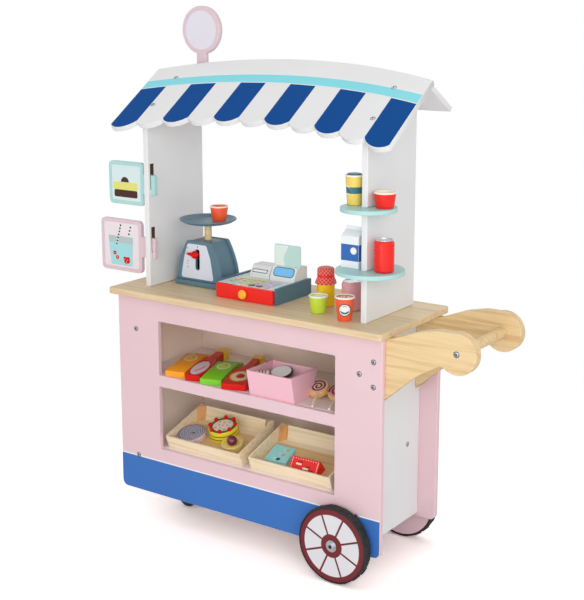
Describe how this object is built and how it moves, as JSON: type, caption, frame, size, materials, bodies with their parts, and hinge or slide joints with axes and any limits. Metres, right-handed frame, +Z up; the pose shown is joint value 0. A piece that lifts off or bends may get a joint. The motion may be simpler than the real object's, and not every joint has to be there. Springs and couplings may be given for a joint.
{
  "type": "toy market cart",
  "caption": "Wooden toy market cart with an arched striped canopy, slotted signs, scale, register, crates and toys, on big wheels and a swivel caster.",
  "frame": {"origin": "on the floor under the middle of the cart's box", "axes": "+X towards the handle, +Y towards the back panel, +Z up"},
  "size_m": [0.822, 0.264, 0.9785],
  "materials": {
    "pink_paint": "satin pink paint on board",
    "white_paint": "satin white paint on board",
    "pine": "clear-coated pine",
    "shelf_paint": "satin greyish white paint on board",
    "rose_paint": "satin rose paint on wood",
    "mint_paint": "satin mint paint on wood",
    "pine_handle": "clear-coated pine",
    "steel": "zinc-plated steel",
    "wheel_paint": "dark red wheel print on wood",
    "tyre_rubber": "black moulded rubber",
    "caster_rubber": "black moulded rubber",
    "blue_grey_paint": "satin blue-grey paint on wood",
    "red_paint": "satin red paint on wood",
    "orange_paint": "gloss orange paint on wood",
    "register_blue_paint": "satin blue paint on wood",
    "yellow_paint": "satin yellow paint on wood",
    "key_paint": "printed white wood",
    "block_paint": "printed pale grey wood",
    "card_board": "printed pale green board",
    "crate_wood": "bare pale wood",
    "cake_paint": "printed yellow wood",
    "box_paint": "satin pink paint on wood",
    "lime_paint": "gloss lime paint on wood",
    "can_pink_paint": "gloss pink paint on wood",
    "carton_white_paint": "printed white wood",
    "carton_orange_paint": "gloss orange paint on wood",
    "carton_green_paint": "gloss green paint on wood"
  },
  "bodies": {
    "cart_body": {"front_panel": "pink_paint", "back_panel": "pink_paint", "left_side_panel": "white_paint", "right_side_panel": "white_paint", "counter_top": "pine", "middle_shelf": "shelf_paint", "bottom_deck": "shelf_paint", "caster_rail": "white_paint", "left_post": "white_paint", "right_post": "white_paint", "front_roof_board": "white_paint", "back_roof_board": "white_paint", "round_sign": "rose_paint", "lower_round_shelf": "mint_paint", "upper_round_shelf": "mint_paint", "front_handle_arm": "pine_handle", "back_handle_arm": "pine_handle", "handle_rod": "pine_handle", "axle": "steel", "caster_plate": "steel", "scale_base": "blue_grey_paint", "scale_front_plate": "blue_grey_paint", "scale_back_plate": "blue_grey_paint", "scale_shell": "blue_grey_paint", "scale_spring": "steel", "register_tray": "register_blue_paint", "register_lid": "key_paint", "printer_block": "block_paint", "screen_block": "block_paint", "register_card": "card_board", "lime_cup": "lime_paint", "orange_cup": "orange_paint", "yellow_bottle": "yellow_paint", "pink_can": "can_pink_paint", "red_cup": "red_paint", "yellow_can": "yellow_paint", "red_can": "red_paint", "milk_carton": "carton_white_paint", "orange_carton": "carton_orange_paint", "green_carton": "carton_green_paint", "left_red_bottle": "red_paint", "right_red_bottle": "red_paint"},
    "front_wheel_body": {"front_wheel": "wheel_paint", "front_tyre": "tyre_rubber"},
    "back_wheel_body": {"back_wheel": "wheel_paint", "back_tyre": "tyre_rubber"},
    "caster_swivel_body": {"caster_fork": "steel"},
    "caster_wheel_body": {"caster_wheel": "caster_rubber"},
    "pan_body": {"scale_dowel": "pine_handle", "scale_dish": "blue_grey_paint", "scale_pointer": "red_paint", "scale_cup": "orange_paint"},
    "drawer_body": {"register_drawer": "red_paint", "drawer_knob": "yellow_paint"},
    "mint_sign_body": {"mint_hanging_sign": "mint_paint"},
    "pink_sign_body": {"pink_hanging_sign": "rose_paint"},
    "left_crate_body": {"left_crate": "crate_wood", "berry_cake": "cake_paint"},
    "right_crate_body": {"right_crate": "crate_wood"},
    "pink_box_body": {"pink_box": "box_paint"}
  },
  "joints": [
    {"name": "front_wheel_spin", "type": "hinge", "parent": "cart_body", "child": "front_wheel_body", "pos_m": [0.165, -0.1275, 0.069], "axis": [0, 1, 0], "continuous": true},
    {"name": "back_wheel_spin", "type": "hinge", "parent": "cart_body", "child": "back_wheel_body", "pos_m": [0.165, 0.1275, 0.069], "axis": [0, 1, 0], "continuous": true},
    {"name": "caster_swivel", "type": "hinge", "parent": "cart_body", "child": "caster_swivel_body", "pos_m": [-0.263, -0.009, 0.0512], "axis": [0, 0, 1], "continuous": true},
    {"name": "caster_wheel_spin", "type": "hinge", "parent": "caster_swivel_body", "child": "caster_wheel_body", "pos_m": [-0.251, -0.009, 0.021], "axis": [0, 1, 0], "continuous": true},
    {"name": "scale_pan_press", "type": "slide", "parent": "cart_body", "child": "pan_body", "axis": [0, 0, 1], "range_m": [-0.024, 0], "stiffness_N_per_m": 200, "springref_m": 0.012, "deforming": ["scale_spring"]},
    {"name": "drawer_slide", "type": "slide", "parent": "cart_body", "child": "drawer_body", "axis": [0, -1, 0], "range_m": [0, 0.055]},
    {"name": "mint_sign_lift", "type": "slide", "parent": "cart_body", "child": "mint_sign_body", "axis": [0, 0, 1], "range_m": [0, 0.018]},
    {"name": "pink_sign_lift", "type": "slide", "parent": "cart_body", "child": "pink_sign_body", "axis": [0, 0, 1], "range_m": [0, 0.018]},
    {"name": "left_crate_slide", "type": "slide", "parent": "cart_body", "child": "left_crate_body", "axis": [0, -1, 0], "range_m": [-0.07, 0.1]},
    {"name": "right_crate_slide", "type": "slide", "parent": "cart_body", "child": "right_crate_body", "axis": [0, -1, 0], "range_m": [-0.07, 0.1]},
    {"name": "pink_box_slide", "type": "slide", "parent": "cart_body", "child": "pink_box_body", "axis": [0, -1, 0], "range_m": [-0.1, 0.05]}
  ]
}
